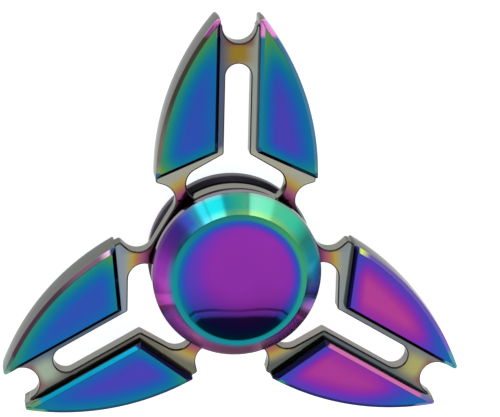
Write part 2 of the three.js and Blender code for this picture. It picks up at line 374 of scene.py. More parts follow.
def chamfered_layers():
    """Heights and insets of a blade's wall, its softened chamfer and its face, from bottom to top."""
    bend = tan(radians(22.5))
    upper = [(0, 0)]
    for a in (0, 15, 30, 45):
        inset = BLADE_DRAFT + WALL_ROUND * (1 - cos(radians(a)))
        upper.append((BLADE_HALF - BLADE_CHAMFER - WALL_ROUND * (bend - sin(radians(a))), inset))
    for a in (45, 60, 75, 90):
        inset = BLADE_DRAFT + BLADE_CHAMFER + FACE_ROUND * (bend - cos(radians(a)))
        upper.append((BLADE_HALF - FACE_ROUND + FACE_ROUND * sin(radians(a)), inset))
    return [(-z, inset) for z, inset in reversed(upper[1:])] + upper


def plate_layers():
    """Heights and insets of the plate's edge, from bottom to top."""
    upper = []
    for a in (0, 22.5, 45, 67.5, 90):
        inset = PLATE_ROUND * (1 - cos(radians(a)))
        upper.append((PLATE_HALF - PLATE_ROUND * (1 - sin(radians(a))), inset))
    return [(-z, inset) for z, inset in reversed(upper)] + upper


def plate_solid():
    """The plate with its three windows and the seat of the bearing, with rounded edges."""
    layers = plate_layers()
    loops = [plate_outline()]
    loops += [turned(window_outline(), i * 2 * pi / ARM_COUNT) for i in range(ARM_COUNT)]
    loops.append(arc(0, 0, SEAT_RADIUS, 0, -2 * pi, HUB_SEGMENTS)[:-1])
    points, faces, rings = [], [], []
    for loop in loops:
        first = len(points)
        for z, inset in layers:
            points += [(x, y, z) for x, y in drawn_in(loop, inset)]
        for i in range(len(layers) - 1):
            faces += strip(first + i * len(loop), first + (i + 1) * len(loop), len(loop))
        rings.append((first, len(loop)))
    for layer in (0, len(layers) - 1):
        index = [first + layer * count + i for first, count in rings for i in range(count)]
        flat = [[Vector((*points[first + layer * count + i][:2], 0)) for i in range(count)]
                for first, count in rings]
        for a, b, c in tessellate_polygon(flat):
            triangle = (index[a], index[b], index[c])
            (ax, ay, _), (bx, by, _), (cx, cy, _) = (points[i] for i in triangle)
            anticlockwise = (bx - ax) * (cy - ay) - (by - ay) * (cx - ax) > 0
            faces.append(triangle if anticlockwise == (layer > 0) else triangle[::-1])
    return points, faces


def revolved(profile, segments):
    """A solid of revolution from a profile of (radius, z) that ends on the axis or closes on itself."""
    points, faces, rings = [], [], []
    ring = profile[:-1] if profile[0] == profile[-1] else profile
    for radius, z in ring:
        on_axis = radius < 1e-6
        rings.append((len(points), on_axis))
        count = 1 if on_axis else segments
        points += [(radius * cos(2 * pi * i / segments), radius * sin(2 * pi * i / segments), z)
                   for i in range(count)]
    pairs = list(zip(rings, rings[1:]))
    if profile[0] == profile[-1]:
        pairs.append((rings[-1], rings[0]))
    for (lower, lower_axis), (upper, upper_axis) in pairs:
        for i in range(segments):
            j = (i + 1) % segments
            if lower_axis and upper_axis:
                continue
            if lower_axis:
                faces.append((lower, upper + j, upper + i))
            elif upper_axis:
                faces.append((lower + i, lower + j, upper))
            else:
                faces.append((lower + i, lower + j, upper + j, upper + i))
    return points, faces


def shape_only(piece):
    """The piece's mesh with its modifiers applied."""
    bpy.context.view_layer.update()
    graph = bpy.context.evaluated_depsgraph_get()
    mesh = bpy.data.meshes.new_from_object(piece.evaluated_get(graph))
    piece.modifiers.clear()
    piece.data = mesh
    return piece


def smooth(piece, sharp=radians(32)):
    """Smooth shading that keeps flat faces flat and crisp corners crisp."""
    for polygon in piece.data.polygons:
        polygon.use_smooth = True
    piece.data.set_sharp_from_angle(angle=sharp)
    weighted = piece.modifiers.new("flat faces win", "WEIGHTED_NORMAL")
    weighted.keep_sharp = True
    weighted.weight = 100
    return shape_only(piece)


def combine(piece, tools, operation):
    """Joins the tools to the piece, or cuts them out of it, and removes the tools."""
    for tool in tools:
        step = piece.modifiers.new("combine", "BOOLEAN")
        step.operation = operation
        step.solver = "EXACT"
        step.object = tool
    shape_only(piece)
    for tool in tools:
        bpy.data.objects.remove(tool)


def boss():
    """The raised wall round the bearing's seat."""
    return revolved([
        (SEAT_RADIUS, -BOSS_HALF), (BOSS_RADIUS - BOSS_CHAMFER, -BOSS_HALF),
        (BOSS_RADIUS, BOSS_CHAMFER - BOSS_HALF), (BOSS_RADIUS, BOSS_HALF - BOSS_CHAMFER),
        (BOSS_RADIUS - BOSS_CHAMFER, BOSS_HALF), (SEAT_RADIUS, BOSS_HALF), (SEAT_RADIUS, -BOSS_HALF),
    ], HUB_SEGMENTS)


def claw_frame():
    """The whole casting: the plate, the boss and a blade on each side of every slot."""
    body = new_piece("claw_frame_body", *plate_solid())
    blade_points, blade_faces = layered(blade_outline, chamfered_layers())
    tools = [new_piece("boss", *boss())]
    for i in range(ARM_COUNT):
        turn = Matrix.Rotation(i * 2 * pi / ARM_COUNT, 4, "Z")
        right = [turn @ Vector(p) for p in blade_points]
        left = [turn @ Vector((-x, y, z)) for x, y, z in blade_points]
        tools.append(new_piece("blade", right, blade_faces))
        tools.append(new_piece("blade", left, [face[::-1] for face in blade_faces]))
    combine(body, tools, "UNION")
    return smooth(body)


def cap_face():
    """The outside of a cap, from the bearing shoulder over the bevel and lip to the middle of the dish."""
    run = LIP_INNER - DISH_FLAT_RADIUS
    dish_radius = (run**2 + DISH_DEPTH**2) / (2 * DISH_DEPTH)
    reach = asin(run / dish_radius)
    centre_z = CAP_LIP_Z - DISH_DEPTH + dish_radius
    dish = arc(DISH_FLAT_RADIUS, centre_z, dish_radius, reach - pi / 2, -pi / 2, 24)
    outline = [
        (SHOULDER_RADIUS, CAP_INNER_Z), (CAP_RADIUS, CAP_INNER_Z), (CAP_RADIUS, CAP_EDGE_Z),
        (LIP_OUTER, CAP_LIP_Z), dish[0],
    ]
    corners = []
    for i, radius in enumerate(CAP_EDGE_ROUNDS, start=1):
        corners += fillet(outline[i - 1], outline[i], outline[i + 1], radius, 5)
    lip = fillet(outline[3], dish[0], dish[3], LIP_ROUND, 6)
    return [
        (STUB_RADIUS, SHOULDER_Z), (SHOULDER_RADIUS, SHOULDER_Z), outline[0], *corners, *lip, *dish[4:],
        (0, CAP_LIP_Z - DISH_DEPTH),
    ]


def front_cap():
    """The cap with the threaded bore."""
    socket = [
        (0, THREAD_BORE_END_Z), (THREAD_BORE_RADIUS, THREAD_BORE_END_Z),
        (THREAD_BORE_RADIUS, STUB_END_Z), (STUB_RADIUS, STUB_END_Z),
    ]
    return smooth(new_piece("front_cap_turned", *revolved(socket + cap_face(), CAP_SEGMENTS)))


def rear_cap():
    """The cap with the threaded post, made facing up and then flipped."""
    post = [
        (0, -THREAD_POST_END_Z), (THREAD_POST_RADIUS - THREAD_POST_CHAMFER, -THREAD_POST_END_Z),
        (THREAD_POST_RADIUS, THREAD_POST_CHAMFER - THREAD_POST_END_Z), (THREAD_POST_RADIUS, 0),
        (STUB_RADIUS, 0),
    ]
    return smooth(new_piece("rear_cap_turned", *flipped(revolved(post + cap_face(), CAP_SEGMENTS))))


def groove(side):
    """The profile of a race's ball groove, upwards. side is 1 for the outer race, -1 for the other."""
    centre = PITCH_RADIUS + side * (BALL_RADIUS + BALL_CLEARANCE - GROOVE_RADIUS)
    land = OUTER_LAND_RADIUS if side > 0 else INNER_LAND_RADIUS
    reach = acos(side * (land - centre) / GROOVE_RADIUS)
    middle = 0 if side > 0 else pi
    return arc(centre, 0, GROOVE_RADIUS, middle - side * reach, middle + side * reach, 20)


def ring_solid(profile, edge_round):
    """A ring with that profile, its corners rounded."""
    loop = rounded(profile, edge_round)
    return revolved(loop + loop[:1], RING_SEGMENTS)


def flipped(shape):
    """The shape turned over about the X axis."""
    points, faces = shape
    return [(x, -y, -z) for x, y, z in points], faces


def outer_race():
    w, c = BEARING_HALF, RACE_CHAMFER
    return ring_solid([
        (OUTER_RACE_RADIUS - c, -w), (OUTER_RACE_RADIUS, c - w), (OUTER_RACE_RADIUS, w - c),
        (OUTER_RACE_RADIUS - c, w), (RECESS_RADIUS, w), (RECESS_RADIUS, RECESS_Z),
        (OUTER_LAND_RADIUS, RECESS_Z), *reversed(groove(1)), (OUTER_LAND_RADIUS, -RECESS_Z),
        (RECESS_RADIUS, -RECESS_Z), (RECESS_RADIUS, -w),
    ], OUTER_RACE_ROUND)


def inner_race():
    w, c = BEARING_HALF, RACE_CHAMFER
    return ring_solid([
        (BORE_RADIUS + c, -w), (INNER_LAND_RADIUS - c / 2, -w), (INNER_LAND_RADIUS, c / 2 - w),
        *groove(-1),
        (INNER_LAND_RADIUS, w - c / 2), (INNER_LAND_RADIUS - c / 2, w), (BORE_RADIUS + c, w),
        (BORE_RADIUS, w - c), (BORE_RADIUS, c - w),
    ], INNER_RACE_ROUND)


def round_the_pitch(shape, station):
    """The shape moved from the axis to a place on the pitch circle, counted in ball spacings."""
    points, faces = shape
    angle = station * 2 * pi / BALL_COUNT
    dx, dy = PITCH_RADIUS * cos(angle), PITCH_RADIUS * sin(angle)
    return [(x + dx, y + dy, z) for x, y, z in points], faces


def ball():
    side = arc(0, 0, BALL_RADIUS, -pi / 2, pi / 2, BALL_SEGMENTS // 2)[1:-1]
    return revolved([(0, -BALL_RADIUS), *side, (0, BALL_RADIUS)], BALL_SEGMENTS)


def rivet():
    """A rivet with a domed head at each end."""
    under = CAGE_GAP + CAGE_THICKNESS + RIVET_PLAY
    dome = RIVET_HEAD_HEIGHT - RIVET_HEAD_EDGE
    upper = [(RIVET_RADIUS, under), (RIVET_HEAD_RADIUS - RIVET_HEAD_EDGE, under)]
    for i in range(8):
        a = i * pi / 16
        upper.append((RIVET_HEAD_RADIUS * cos(a), under + RIVET_HEAD_EDGE + dome * sin(a)))
    upper.append((0, under + RIVET_HEAD_HEIGHT))
    lower = [(radius, -z) for radius, z in reversed(upper)]
    return revolved(lower + upper, RIVET_SEGMENTS)


def swept(stations, closed):
    """A solid through cross-sections in a row round the axis, each anticlockwise in radius and height."""
    count = len(stations[0])
    points = [point for station in stations for point in station]
    faces = []
    for i in range(len(stations) if closed else len(stations) - 1):
        faces += [face[::-1] for face in strip(i * count, (i + 1) % len(stations) * count, count)]
    if not closed:
        faces += [tuple(range(count)), tuple(reversed(range(len(points) - count, len(points))))]
    return points, faces


def soft_rectangle(width, height, corner):
    """A cross-section from (0, 0) to (width, height) with rounded corners."""
    return rounded([(0, 0), (width, 0), (width, height), (0, height)], corner)


def cage_half():
    """A ribbon that arches over each ball and runs flat between the balls, with a rivet hole in each flat."""
    section = soft_rectangle(CAGE_WIDTH, CAGE_THICKNESS, CAGE_EDGE_ROUND)
    stations = []
    for i in range(BALL_COUNT):
        for step in range(ARCH_STEPS + 1):
            swing = pi * step / ARCH_STEPS
            station = []
            for across, up in section:
                arch = CAGE_POCKET + up
                angle = i * 2 * pi / BALL_COUNT - arch * cos(swing) / PITCH_RADIUS
                height = max(CAGE_GAP + up, arch * sin(swing))
                radius = CAGE_INNER + across
                station.append((radius * cos(angle), radius * sin(angle), height))
            stations.append(station)
    half = new_piece("cage_half", *swept(stations, True))
    hole_radius = RIVET_RADIUS + RIVET_PLAY
    hole = revolved([(0, -2), (hole_radius, -2), (hole_radius, 2), (0, 2)], RIVET_SEGMENTS)
    tools = [new_piece("hole", *round_the_pitch(hole, i + 0.5)) for i in range(BALL_COUNT)]
    combine(half, tools, "DIFFERENCE")
    return half


def shield():
    """A thin washer whose inner part is pressed in towards the balls."""
    low, high = SHIELD_Z, SHIELD_Z + SHIELD_THICKNESS
    return ring_solid([
        (SHIELD_INNER, low - SHIELD_STEP), (SHIELD_STEP_RADIUS, low - SHIELD_STEP),
        (SHIELD_STEP_RADIUS + 0.2, low), (SHIELD_OUTER, low), (SHIELD_OUTER, high),
        (SHIELD_STEP_RADIUS + 0.1, high), (SHIELD_STEP_RADIUS - 0.1, high - SHIELD_STEP),
        (SHIELD_INNER, high - SHIELD_STEP),
    ], SHIELD_ROUND)


def retaining_ring():
    """An open ring of flat wire."""
    section = soft_rectangle(SHIELD_OUTER - WIRE_INNER, WIRE_THICKNESS, WIRE_EDGE_ROUND)
    stations = []
    for i in range(WIRE_STEPS + 1):
        angle = WIRE_OPENING + (2 * pi - 2 * WIRE_OPENING) * i / WIRE_STEPS
        c, s = cos(angle), sin(angle)
        stations.append([((WIRE_INNER + across) * c, (WIRE_INNER + across) * s, WIRE_Z + up)
                         for across, up in section])
    return swept(stations, False)


# Materials

# The greatest strength of light in the studio's ramps.
STRENGTH_CEILING = 3

# The unevenness of every metal: grains per metre, spread of the roughness, and depth in millimetres.
HAZE_GRAIN = 260.0
HAZE = 0.05
PEEL_GRAIN = 420.0
PEEL_DEPTH = 0.02

# The share of the light that the plating still mirrors at a grazing angle.
GRAZING_SHARE = 0.5

# The film's colours in order of thickness, as they show on the faces.
FILM = [
    (0.00, (146, 134, 58)), (0.08, (112, 146, 62)), (0.14, (62, 142, 88)), (0.22, (36, 134, 122)),
    (0.30, (20, 120, 146)), (0.42, (22, 100, 170)), (0.52, (42, 84, 178)), (0.63, (66, 68, 180)),
    (0.73, (98, 56, 180)), (0.82, (134, 46, 168)), (0.92, (158, 52, 152)), (1.00, (176, 62, 148)),
]


class Field:
    """A node socket that can be used in sums, so that a material's formula reads as one.

    New nodes go into the class's tree, which new_material() and background() set.
    """

    tree = None

    def __init__(self, socket):
        self.socket = socket

    @classmethod
    def of(cls, operation, *inputs):
        """The result of a math node, from fields and numbers."""
        node = cls.tree.nodes.new("ShaderNodeMath")
        node.operation = operation
        for socket, value in zip(node.inputs, inputs):
            if isinstance(value, Field):
                cls.tree.links.new(value.socket, socket)
            else:
                socket.default_value = value
        return Field(node.outputs[0])

    def __add__(self, other):
        return Field.of("ADD", self, other)

    def __sub__(self, other):
        return Field.of("SUBTRACT", self, other)

    def __rsub__(self, other):
        return Field.of("SUBTRACT", other, self)

    def __mul__(self, other):
        return Field.of("MULTIPLY", self, other)

    def __truediv__(self, other):
        return Field.of("DIVIDE", self, other)

    def __abs__(self):
        return Field.of("ABSOLUTE", self)

    __radd__ = __add__
    __rmul__ = __mul__


def fade(value, span):
    """0 before the span's first end, 1 past its last end and smooth between them. It may run downwards."""
    node = Field.tree.nodes.new("ShaderNodeMapRange")
    node.interpolation_type = "SMOOTHSTEP"
    node.inputs["From Min"].default_value = span[0]
    node.inputs["From Max"].default_value = span[1]
    Field.tree.links.new(value.socket, node.inputs["Value"])
    return Field(node.outputs["Result"])


def blend(first, second, share):
    """A number on its way from the first to the second."""
    return first + (second - first) * share


def length(x, y):
    return Field.of("SQRT", x * x + y * y)


def linear(channel):
    c = channel / 255
    return c / 12.92 if c <= 0.04045 else ((c + 0.055) / 1.055) ** 2.4


def screen(colour):
    """A colour as shown on a screen, from 0 to 255, as the shader's linear one."""
    return (*[linear(c) for c in colour], 1)


def plain(value):
    """A grey as a shader colour."""
    return (value, value, value, 1)


def ramp(value, stops, interpolation="LINEAR"):
    """A colour ramp: stops are (place from 0 to 1, shader colour)."""
    node = Field.tree.nodes.new("ShaderNodeValToRGB")
    node.color_ramp.interpolation = interpolation
    elements = node.color_ramp.elements
    while len(elements) < len(stops):
        elements.new(0.5)
    for element, (place, _) in zip(elements, stops):
        element.position = place
    for element, (_, colour) in zip(elements, stops):
        element.color = colour
    Field.tree.links.new(value.socket, node.inputs["Fac"])
    return node.outputs["Color"]


def colours(value, stops, lowest=0.0, highest=1.0):
    """A ramp whose places run from lowest to highest and whose colours are screen colours."""
    scaled = (value - lowest) / (highest - lowest)
    return ramp(scaled, [((at - lowest) / (highest - lowest), screen(colour)) for at, colour in stops])


def strengths(value, stops, lowest=0.0, highest=1.0):
    """A ramp of strengths, which it holds as shares of the ceiling, because a ramp's colours end at 1."""
    scaled = (value - lowest) / (highest - lowest)
    grey = ramp(scaled, [
        ((at - lowest) / (highest - lowest), plain(strength / STRENGTH_CEILING)) for at, strength in stops
    ])
    return Field(grey) * STRENGTH_CEILING


def mixed(share, first, second):
    """A colour on its way from the first to the second. Each is a screen colour or a colour socket."""
    node = Field.tree.nodes.new("ShaderNodeMix")
    node.data_type = "RGBA"
    Field.tree.links.new(share.socket, node.inputs["Factor"])
    for socket, value in (("A", first), ("B", second)):
        if isinstance(value, tuple):
            node.inputs[socket].default_value = screen(value)
        else:
            Field.tree.links.new(value, node.inputs[socket])
    return node.outputs["Result"]


def coordinates():
    """The tree's one node for texture coordinates."""
    found = [n for n in Field.tree.nodes if n.bl_idname == "ShaderNodeTexCoord"]
    return found[0] if found else Field.tree.nodes.new("ShaderNodeTexCoord")


def noise(scale, detail=2.0):
    node = Field.tree.nodes.new("ShaderNodeTexNoise")
    node.inputs["Scale"].default_value = scale
    node.inputs["Detail"].default_value = detail
    Field.tree.links.new(coordinates().outputs["Object"], node.inputs["Vector"])
    return Field(node.outputs["Fac"])


def split(socket, scale=1.0):
    """The three parts of a vector, scaled."""
    node = Field.tree.nodes.new("ShaderNodeSeparateXYZ")
    Field.tree.links.new(socket, node.inputs[0])
    return [Field(out) * scale if scale != 1 else Field(out) for out in node.outputs]


def position():
    """The place on the object, in millimetres."""
    return split(coordinates().outputs["Object"], 1 / MM)


def upward():
    """How squarely the surface faces along the spin axis, from 0 to 1."""
    return abs(split(coordinates().outputs["Normal"])[2])


def turn_about_axis(x, y):
    """The angle round the spin axis from +X, in turns from 0 to 1."""
    return Field.of("FRACT", Field.of("ARCTAN2", y, x) / (2 * pi) + 1.0)


def new_material(name):
    material = bpy.data.materials.new(name)
    material.use_nodes = True
    Field.tree = material.node_tree
    return material, material.node_tree.nodes["Principled BSDF"]


def finish_metal(shader, colour, roughness, peel):
    """Connects the colour, and gives the metal its slight unevenness in gloss and surface."""
    links = Field.tree.links
    links.new(colour, shader.inputs["Base Color"])
    shader.inputs["Metallic"].default_value = 1.0
    haze = noise(HAZE_GRAIN, 3.0) * HAZE + (roughness - HAZE / 2)
    links.new(haze.socket, shader.inputs["Roughness"])
    bump = Field.tree.nodes.new("ShaderNodeBump")
    bump.inputs["Strength"].default_value = peel
    bump.inputs["Distance"].default_value = PEEL_DEPTH * MM
    links.new(noise(PEEL_GRAIN).socket, bump.inputs["Height"])
    links.new(bump.outputs["Normal"], shader.inputs["Normal"])


class Blade(NamedTuple):
    """The plating on one blade and on the plate beside it, with painted glints and painted shade among its
    colours.

    start is the azimuth in degrees where the blade's sixth of the frame starts. The five numbers after it are
    the film's thickness in the middle of the face and at three of its sides, and what it loses at the tip.
    """

    start: int
    middle: float
    at_edge: float
    at_slot: float
    at_heel: float
    less_at_tip: float
    edge_chamfer: tuple
    slot_chamfer: tuple
    heel_chamfer: tuple
    # painted glint on the chamfer at the blade's foot corner
    foot_painted_glint: tuple
    # painted glint on the chamfer at the blade's tip
    tip_painted_glint: tuple
    # film on the ledge beside the slot; on the lower arms' blades it is darkened with painted shade
    slot_ledge_film_and_shade: tuple
    heel_ledge: tuple


# The foot and tip chamfer colours below are painted glints.
BLADES = [
    Blade(30, 0.65, 0.33, 0.29, 0.28, 0.22, (60, 108, 142), (30, 118, 152), (40, 80, 120),
          (64, 130, 130), (232, 136, 218), (150, 156, 150), (164, 162, 146)),
    Blade(90, 0.54, 0.16, 0.42, 0.30, 0.06, (112, 108, 98), (58, 92, 142), (30, 88, 118),
          (132, 140, 104), (220, 124, 210), (80, 92, 116), (158, 158, 146)),
    Blade(150, 0.53, 0.19, 0.42, 0.30, 0.0, (126, 98, 120), (28, 62, 104), (40, 75, 118),
          (244, 200, 232), (120, 160, 150), (80, 98, 120), (132, 146, 158)),
    Blade(210, 0.65, 0.30, 0.42, 0.30, 0.0, (26, 70, 100), (16, 150, 188), (40, 36, 92),
          (36, 110, 104), (92, 150, 104), (92, 90, 86), (110, 106, 92)),
    Blade(270, 0.96, 0.68, 0.86, 0.60, 0.28, (40, 42, 98), (206, 112, 172), (36, 38, 88),
          (40, 130, 110), (110, 110, 170), (92, 98, 106), (88, 92, 88)),
    Blade(330, 1.00, 0.66, 0.84, 0.64, 0.24, (108, 88, 176), (66, 38, 104), (42, 38, 114),
          (220, 240, 96), (70, 140, 150), (112, 116, 122), (134, 144, 144)),
]


def around_blades(turn, colour_of):
    """A colour that each sixth of the frame has for itself."""
    stops = [(0.0, colour_of(BLADES[-1]))] + [(b.start / 360, colour_of(b)) for b in BLADES]
    return ramp(turn, stops, "CONSTANT")


def blade_number(turn, name):
    """A number of the blade's plating at that turn."""
    return Field(around_blades(turn, lambda blade: plain(getattr(blade, name))))


def blade_colour(turn, name):
    """A colour from the blade's row of BLADES at that turn."""
    return around_blades(turn, lambda blade: screen(getattr(blade, name)))


# Fades: where one colour starts to give way to another, and where it has gone. On a blade's face and chamfer
# they are millimetres from one of its sides, or, for the tip and the foot, from the spin axis along the arm.
EDGE_FADE = (4.1, 0.3)
SLOT_FADE = (3.2, 0.4)
HEEL_FADE = (3.0, 0.4)
TIP_FADE = (26.0, 35.5)
CHAMFER_SIDE_FADE = (1.2, 0.8)
# where the painted glint near a blade's foot corner fades out along the arm
FOOT_GLINT_FADE = (16.8, 14.8)
# where the painted glint at a blade's tip fades in
TIP_GLINT_FADE = (34.6, 35.4)

# What the film loses in the corner of the edge and the heel, and how it varies by itself.
CORNER_LOSS = 0.1
FRAME_FILM_GRAIN = 90.0
FRAME_FILM_SPREAD = 0.06

# Fades on the plate: from the slot's ledge to the heel's, from the struts to the ledges by radius, and onto
# the bridges and the clasps' edges, along and across the arm.
LEDGE_FADE = (0.8, -0.3)
STRUT_FADE = (15.2, 16.8)
BRIDGE_FADE_ALONG = (28.8, 31.8)
BRIDGE_FADE_ACROSS = (2.9, 0.5)
CLASP_FADE_ALONG = (32.6, 34.2)
CLASP_FADE_ACROSS = (2.6, 1.6)

# Fades by how squarely the surface faces along the axis: from a blade's chamfer to its face, from the plate's
# sides to its rounded rim, and from either to an upright wall.
FACE_FADE = (0.82, 0.97)
RIM_FADE = (0.99, 0.9)
WALL_FADE = (0.45, 0.2)
RAISED_FADE = (PLATE_HALF + 0.02, PLATE_HALF + 0.08)
BESIDE_BLADE_FADE = (0.6, 0.3)

# The film on a strut, from the hub outwards, by radius. Its near-black start at the hub, under the caps'
# rims, is painted shade.
STRUT_START = 10
STRUT_END = 20
STRUT_FILM_AND_SHADE = [
    (12.2, (34, 22, 36)), (12.8, (84, 44, 62)), (13.6, (146, 72, 116)), (14.5, (166, 112, 78)),
    (15.2, (172, 150, 74)), (16.4, (160, 158, 128)),
]

# The plating on the bridge at the end of each slot, by the turn where it starts.
BRIDGE_PLATING = [
    (0.0, (168, 164, 104)), (0.083, (150, 122, 42)), (0.417, (156, 171, 152)), (0.75, (168, 164, 104)),
]

# Other colours on the frame; the dark grey on the plate's rounded rim is painted shade. The fine lines on the
# blades' walls are WALL_LINES radians to the millimetre.
CLASP_EDGE_PLATING = (134, 84, 84)
PLATE_RIM_PAINTED_SHADE = (70, 70, 72)
PLATE_WALL_PLATING = (158, 157, 146)
WALL_LINE_DARK = (112, 117, 109)
WALL_LINE_LIGHT = (124, 127, 120)
WALL_LINES = 16.0
WALL_LINE_GRAIN = 60.0
WALL_LINE_WANDER = 5.0
FRAME_ROUGHNESS = 0.1
FRAME_PEEL = 0.15


class ArmPlace:
    """Where a point of the frame lies on its arm, seen along the spin axis, in millimetres."""

    def __init__(self, x, y):
        self.radius = length(x, y)
        self.turn = turn_about_axis(x, y)
        from_top_arm = self.turn - 0.25
        swing = from_top_arm - Field.of("ROUND", from_top_arm * ARM_COUNT) / ARM_COUNT
        self.across = abs(Field.of("SINE", swing * 2 * pi) * self.radius)
        self.along = Field.of("COSINE", swing * 2 * pi) * self.radius
        middle_x = EDGE_WIDEST[0] - EDGE_RADIUS
        self.from_edge = EDGE_RADIUS - length(self.across - middle_x, self.along - EDGE_WIDEST[1])
        self.from_slot = self.across - (SLOT_HALF + LEDGE)
        slope = (HEEL_Y - FOOT_Y) / (EDGE_WIDEST[0] - (SLOT_HALF + LEDGE))
        above_heel = self.along + self.across * slope - (FOOT_Y + EDGE_WIDEST[0] * slope)
        self.from_heel = above_heel * cos(slope)


def face_plating(place):
    """The film on the flat face of a blade."""
    near_edge = fade(place.from_edge, EDGE_FADE)
    near_slot = fade(place.from_slot, SLOT_FADE)
    near_heel = fade(place.from_heel, HEEL_FADE)
    near_tip = fade(place.along, TIP_FADE)
    film = blend(blade_number(place.turn, "middle"), blade_number(place.turn, "at_slot"), near_slot)
    film = blend(film, blade_number(place.turn, "at_heel"), near_heel)
    film = blend(film, blade_number(place.turn, "at_edge"), near_edge)
    film = film - blade_number(place.turn, "less_at_tip") * near_tip - CORNER_LOSS * near_edge * near_heel
    film = film + (noise(FRAME_FILM_GRAIN) - 0.5) * FRAME_FILM_SPREAD
    return colours(film, FILM)


def chamfer_plating_and_glints(place):
    """The chamfer round a blade's face, with a colour for each of its sides and painted glints at its foot
    and its tip.
    """
    colour = blade_colour(place.turn, "edge_chamfer")
    for share, name in (
        # painted glints at the foot corner and at the tip
        (fade(place.along, FOOT_GLINT_FADE), "foot_painted_glint"),
        (fade(place.from_slot, CHAMFER_SIDE_FADE), "slot_chamfer"),
        (fade(place.from_heel, CHAMFER_SIDE_FADE), "heel_chamfer"),
        (fade(place.along, TIP_GLINT_FADE), "tip_painted_glint"),
    ):
        colour = mixed(share, colour, blade_colour(place.turn, name))
    return colour


def plate_plating_and_shade(place):
    """The plate's two sides: the struts, the ledges beside the blades, the bridges and the clasps' edges,
    with painted shade at the struts' roots and on the lower arms' slot ledges.
    """
    # the struts start with painted shade at the hub
    strut = colours(place.radius, STRUT_FILM_AND_SHADE, STRUT_START, STRUT_END)
    # the lower arms' slot ledges are darkened with painted shade
    ledge = mixed(fade(place.from_heel, LEDGE_FADE), blade_colour(place.turn, "slot_ledge_film_and_shade"),
                  blade_colour(place.turn, "heel_ledge"))
    ledge = mixed(fade(place.radius, STRUT_FADE), strut, ledge)
    bridge = ramp(place.turn, [(start, screen(colour)) for start, colour in BRIDGE_PLATING], "CONSTANT")
    on_bridge = fade(place.along, BRIDGE_FADE_ALONG) * fade(place.across, BRIDGE_FADE_ACROSS)
    at_clasp = fade(place.along, CLASP_FADE_ALONG) * fade(place.across, CLASP_FADE_ACROSS)
    return mixed(at_clasp, mixed(on_bridge, ledge, bridge), CLASP_EDGE_PLATING)


def wall_plating(place, z, raised):
    """The upright sides, with fine lines on the blades' own."""
    wander = noise(WALL_LINE_GRAIN) * WALL_LINE_WANDER
    lines = Field.of("SINE", z * WALL_LINES + wander) * 0.5 + 0.5
    lined = mixed(lines, WALL_LINE_DARK, WALL_LINE_LIGHT)
    beside_blade = fade(place.from_edge, BESIDE_BLADE_FADE)
    return mixed(raised, mixed(beside_blade, PLATE_WALL_PLATING, lined), lined)


def frame_material():
    """The frame's plating with its painted glints and painted shade, told apart by height and by how squarely
    the surface faces along the axis.
    """
    material, shader = new_material("frame rainbow plating with painted light")
    x, y, z = position()
    up = upward()
    place = ArmPlace(x, y)
    raised = fade(abs(z), RAISED_FADE)
    blade = mixed(fade(up, FACE_FADE), chamfer_plating_and_glints(place), face_plating(place))
    # the plate's rounded rim takes the painted shade
    plate = mixed(fade(up, RIM_FADE), plate_plating_and_shade(place), PLATE_RIM_PAINTED_SHADE)
    wall = wall_plating(place, z, raised)
    colour = mixed(fade(up, WALL_FADE), mixed(raised, plate, blade), wall)
    finish_metal(shader, colour, FRAME_ROUGHNESS, FRAME_PEEL)
    shader.inputs["Specular Tint"].default_value = plain(GRAZING_SHARE)
    return material


# The plating round a cap, by azimuth in degrees: on its lip, on the bevel, and on the bevel beside the lip.
# The bevel's colours carry painted light: brightened where it mirrors the dark frame and the shadowed floor,
# darkened where it mirrors the bright floor.
LIP_PLATING = [
    (0, (54, 158, 116)), (50, (56, 152, 106)), (90, (34, 128, 116)), (130, (28, 120, 134)),
    (180, (24, 142, 148)), (270, (20, 140, 154)), (330, (26, 150, 148)), (360, (54, 158, 116)),
]
BEVEL_FILM_AND_PAINTED_LIGHT = [
    (0, (60, 196, 224)), (13, (24, 118, 138)), (30, (34, 108, 100)), (44, (50, 174, 142)),
    (62, (76, 184, 140)), (78, (96, 176, 146)), (90, (52, 166, 132)), (100, (20, 152, 154)),
    (112, (14, 158, 162)), (123, (40, 150, 170)), (130, (56, 90, 192)), (142, (80, 54, 166)),
    (152, (94, 46, 148)), (165, (118, 44, 148)), (178, (138, 52, 156)), (190, (190, 74, 188)),
    (200, (178, 70, 176)), (213, (246, 112, 200)), (230, (208, 104, 164)), (245, (116, 60, 108)),
    (262, (92, 56, 82)), (280, (90, 50, 80)), (290, (136, 84, 116)), (300, (214, 130, 196)),
    (320, (236, 148, 220)), (332, (204, 128, 220)), (342, (98, 90, 180)), (351, (112, 190, 226)),
    (360, (60, 196, 224)),
]
BEVEL_TOP_PLATING = [
    (0, (52, 150, 140)), (30, (46, 124, 84)), (60, (124, 186, 104)), (80, (138, 188, 112)),
    (96, (92, 168, 108)), (112, (84, 178, 176)), (130, (46, 136, 182)), (150, (34, 80, 110)),
    (180, (56, 108, 152)), (220, (64, 104, 138)), (270, (60, 98, 124)), (330, (58, 128, 152)),
    (360, (52, 150, 140)),
]
BEVEL_FOOT_PLATING = (128, 118, 128)
FRONT_CAP_WALL_PLATING = (168, 152, 162)
REAR_CAP_WALL_PLATING = (112, 108, 114)
# The dark band at the foot of a cap's wall, beside the gap to the frame, is painted shade.
CAP_GAP_PAINTED_SHADE = (44, 38, 52)
CAP_INNER_FACE_PLATING = (124, 116, 128)

# The film on a dish is thickest in the middle of a spot beside the axis, and thins again beside the lip.
DISH_FILM = 0.84
DISH_SPOT = (1.6, 1.4)
DISH_SPOT_FADE = (5.0, 11.5)
DISH_SPOT_LOSS = 0.24
DISH_EDGE_FADE = (7.5, 9.3)
DISH_EDGE_LOSS = 0.3
DISH_FILM_GRAIN = 110.0
DISH_FILM_SPREAD = 0.04

